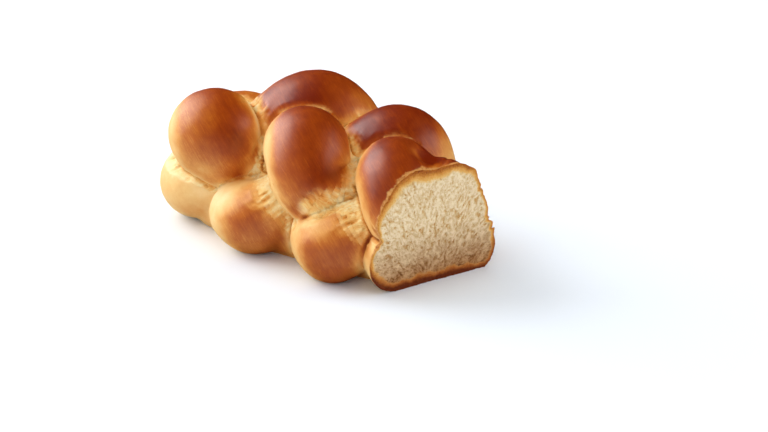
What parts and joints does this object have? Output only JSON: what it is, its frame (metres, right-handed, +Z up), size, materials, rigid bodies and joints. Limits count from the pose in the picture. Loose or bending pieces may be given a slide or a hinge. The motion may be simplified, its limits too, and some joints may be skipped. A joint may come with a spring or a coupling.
{
  "type": "braided loaf",
  "caption": "Golden brown braided bread loaf of plump plaited lobes, with a tucked round end and a flat cut end that shows pale crumb.",
  "frame": {"origin": "on the floor under the middle of the loaf's bounding box", "axes": "+X along the loaf towards the cut end, +Y to the back, +Z up"},
  "size_m": [0.1892, 0.1124, 0.0798],
  "materials": {
    "loaf": "egg-washed baked crust, mahogany brown on top and golden at the sides, over pale cream crumb"
  },
  "bodies": {
    "root": {"loaf": "loaf"}
  },
  "joints": []
}
